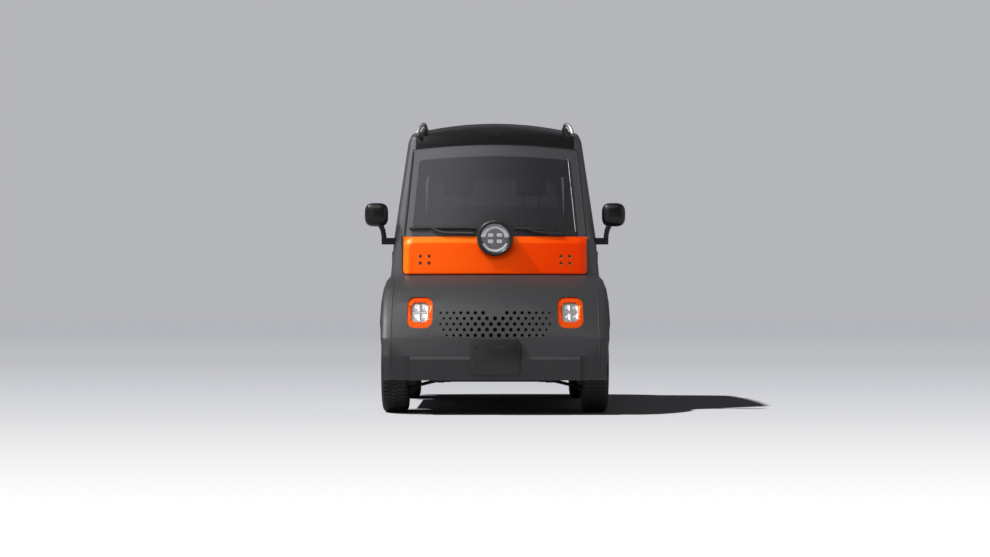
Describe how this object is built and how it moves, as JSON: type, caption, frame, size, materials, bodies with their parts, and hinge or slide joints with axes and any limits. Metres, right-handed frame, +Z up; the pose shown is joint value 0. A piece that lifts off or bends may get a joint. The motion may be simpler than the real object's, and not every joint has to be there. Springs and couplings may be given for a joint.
{
  "type": "microcar",
  "caption": "Narrow tall electric microcar with a perforated nose panel, a round central lamp, opening doors and tailgate, and steered front wheels.",
  "frame": {"origin": "on the ground at the middle of the whole car's box", "axes": "the front faces -Y, the car's left side is +X and +Z is up"},
  "size_m": [1.521, 2.498, 1.7059],
  "materials": {
    "body_paint": "satin grey",
    "roof_black": "gloss black",
    "screen_glass": "clear tint",
    "panel_orange": "gloss orange",
    "side_glass": "dark tint",
    "lamp_red": "gloss red",
    "fascia_grey": "satin grey",
    "bezel_orange": "gloss orange",
    "lamp_clear": "clear",
    "liner_black": "matte black",
    "trim_black": "satin black",
    "mirror_black": "gloss black",
    "lamp_inner": "satin",
    "frame_black": "satin black",
    "block_grey": "satin grey",
    "axle_iron": "rough dark",
    "tyre_black": "matte",
    "rim_dark": "satin dark grey",
    "cabin_black": "matte black",
    "grip_black": "grained black",
    "seat_fabric": "woven dark grey",
    "rail_silver": "satin"
  },
  "bodies": {
    "body": {"side_frame_left": "body_paint", "side_frame_right": "body_paint", "rear_quarter_left": "body_paint", "rear_quarter_right": "body_paint", "roof_panel": "roof_black", "windshield": "screen_glass", "front_panel": "panel_orange", "quarter_glasses": "side_glass", "tail_lamps": "lamp_red", "front_fascia": "fascia_grey", "front_fender_left": "fascia_grey", "front_fender_right": "fascia_grey", "rear_bumper": "fascia_grey", "side_lamp_bezels": "bezel_orange", "side_lamp_lenses": "lamp_clear", "headlamp_lens": "lamp_clear", "arch_liners": "liner_black", "floor_tub": "liner_black", "footwell_box": "liner_black", "rear_arch_covers": "liner_black", "headlamp_body": "trim_black", "plate_bracket": "trim_black", "wipers": "trim_black", "mirrors": "mirror_black", "headlamp_modules": "lamp_inner", "chassis_frame": "frame_black", "front_arms": "frame_black", "battery_pack": "block_grey", "drive_unit": "block_grey", "rear_axle": "axle_iron", "dashboard": "cabin_black", "steering_column": "cabin_black", "seat_frames": "cabin_black", "seat_cushions": "seat_fabric", "seat_backs": "seat_fabric", "headrests": "seat_fabric", "roof_rails": "rail_silver"},
    "left_door": {"door_left": "body_paint", "door_glass_left": "side_glass", "door_handle_left": "trim_black"},
    "right_door": {"door_right": "body_paint", "door_glass_right": "side_glass", "door_handle_right": "trim_black"},
    "rear_gate": {"tailgate": "body_paint", "tailgate_glass": "side_glass"},
    "hand_wheel": {"steering_wheel": "grip_black"},
    "left_knuckle": {"knuckle_left": "axle_iron"},
    "right_knuckle": {"knuckle_right": "axle_iron"},
    "wheel_front_left": {"tyre_front_left": "tyre_black", "rim_front_left": "rim_dark"},
    "wheel_front_right": {"tyre_front_right": "tyre_black", "rim_front_right": "rim_dark"},
    "wheel_rear_left": {"tyre_rear_left": "tyre_black", "rim_rear_left": "rim_dark"},
    "wheel_rear_right": {"tyre_rear_right": "tyre_black", "rim_rear_right": "rim_dark"}
  },
  "joints": [
    {"name": "steer_left", "type": "hinge", "parent": "body", "child": "left_knuckle", "pos_m": [0.515, -0.905, 0.145], "axis": [-0.225, 0, 0.9744], "range_deg": [-30, 30]},
    {"name": "steer_right", "type": "hinge", "parent": "body", "child": "right_knuckle", "pos_m": [-0.515, -0.905, 0.145], "axis": [0.225, 0, 0.9744], "range_deg": [-30, 30]},
    {"name": "spin_front_left", "type": "hinge", "parent": "left_knuckle", "child": "wheel_front_left", "pos_m": [0.56, -0.905, 0.254], "axis": [1, 0, 0], "continuous": true},
    {"name": "spin_front_right", "type": "hinge", "parent": "right_knuckle", "child": "wheel_front_right", "pos_m": [-0.56, -0.905, 0.254], "axis": [1, 0, 0], "continuous": true},
    {"name": "spin_rear_left", "type": "hinge", "parent": "body", "child": "wheel_rear_left", "pos_m": [0.56, 0.8, 0.254], "axis": [1, 0, 0], "continuous": true},
    {"name": "spin_rear_right", "type": "hinge", "parent": "body", "child": "wheel_rear_right", "pos_m": [-0.56, 0.8, 0.254], "axis": [1, 0, 0], "continuous": true},
    {"name": "hand_wheel_turn", "type": "hinge", "parent": "body", "child": "hand_wheel", "pos_m": [0.225, -0.415, 0.905], "axis": [0, 0.9063, 0.4226], "range_deg": [-360, 360]},
    {"name": "left_door_swing", "type": "hinge", "parent": "body", "child": "left_door", "pos_m": [0.585, -0.558, 0.6], "axis": [0, 0, -1], "range_deg": [0, 65]},
    {"name": "right_door_swing", "type": "hinge", "parent": "body", "child": "right_door", "pos_m": [-0.585, -0.558, 0.6], "axis": [0, 0, 1], "range_deg": [0, 65]},
    {"name": "rear_gate_swing", "type": "hinge", "parent": "body", "child": "rear_gate", "pos_m": [0, 1.045, 1.459], "axis": [1, 0, 0], "range_deg": [0, 75]}
  ],
  "couplings": [
    {"joint": "steer_right", "follows": "steer_left", "ratio": 1},
    {"joint": "hand_wheel_turn", "follows": "steer_left", "ratio": 12}
  ]
}
